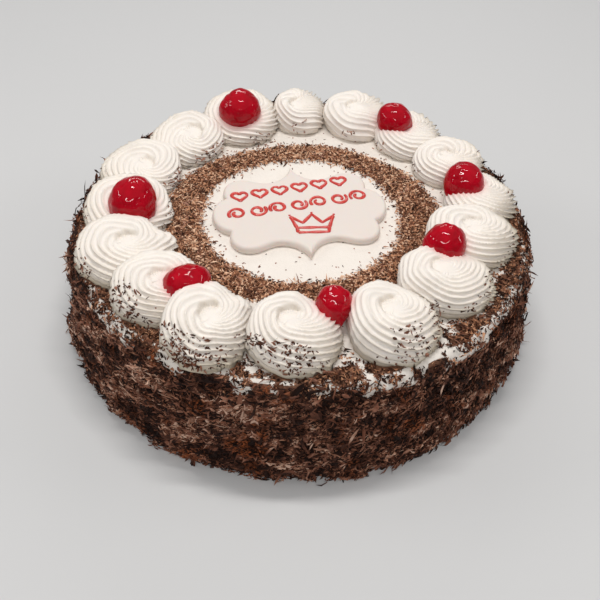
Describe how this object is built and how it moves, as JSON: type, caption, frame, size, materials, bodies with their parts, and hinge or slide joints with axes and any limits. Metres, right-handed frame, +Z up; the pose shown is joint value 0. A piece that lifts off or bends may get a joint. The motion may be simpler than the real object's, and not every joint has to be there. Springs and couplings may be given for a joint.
{
  "type": "black forest cake",
  "caption": "Round cream cake with shaved chocolate on its side and top, a crown of piped cream rosettes, glazed cherries and a sugar plaque.",
  "frame": {"origin": "middle of the flat underside", "axes": "+Z up through the cake; -Y is the side from which the plaque's ornament stands the right way up"},
  "size_m": [0.2284, 0.2265, 0.0769],
  "materials": {
    "chocolate": "matt shaved dark chocolate over whipped cream",
    "cream": "satin whipped cream",
    "cherry": "wet glossy glazed cherry",
    "sugar": "matt rolled sugar paste with red piped gel"
  },
  "bodies": {
    "root": {"cake_body": "chocolate", "rosette_01": "cream", "rosette_02": "cream", "rosette_03": "cream", "rosette_04": "cream", "rosette_05": "cream", "rosette_06": "cream", "rosette_07": "cream", "rosette_08": "cream", "rosette_09": "cream", "rosette_10": "cream", "rosette_11": "cream", "rosette_12": "cream", "rosette_13": "cream", "rosette_14": "cream", "rosette_15": "cream", "rosette_16": "cream", "cherry_1": "cherry", "cherry_2": "cherry", "cherry_3": "cherry", "cherry_4": "cherry", "cherry_5": "cherry", "cherry_6": "cherry", "cherry_7": "cherry", "sugar_plaque": "sugar"}
  },
  "joints": []
}
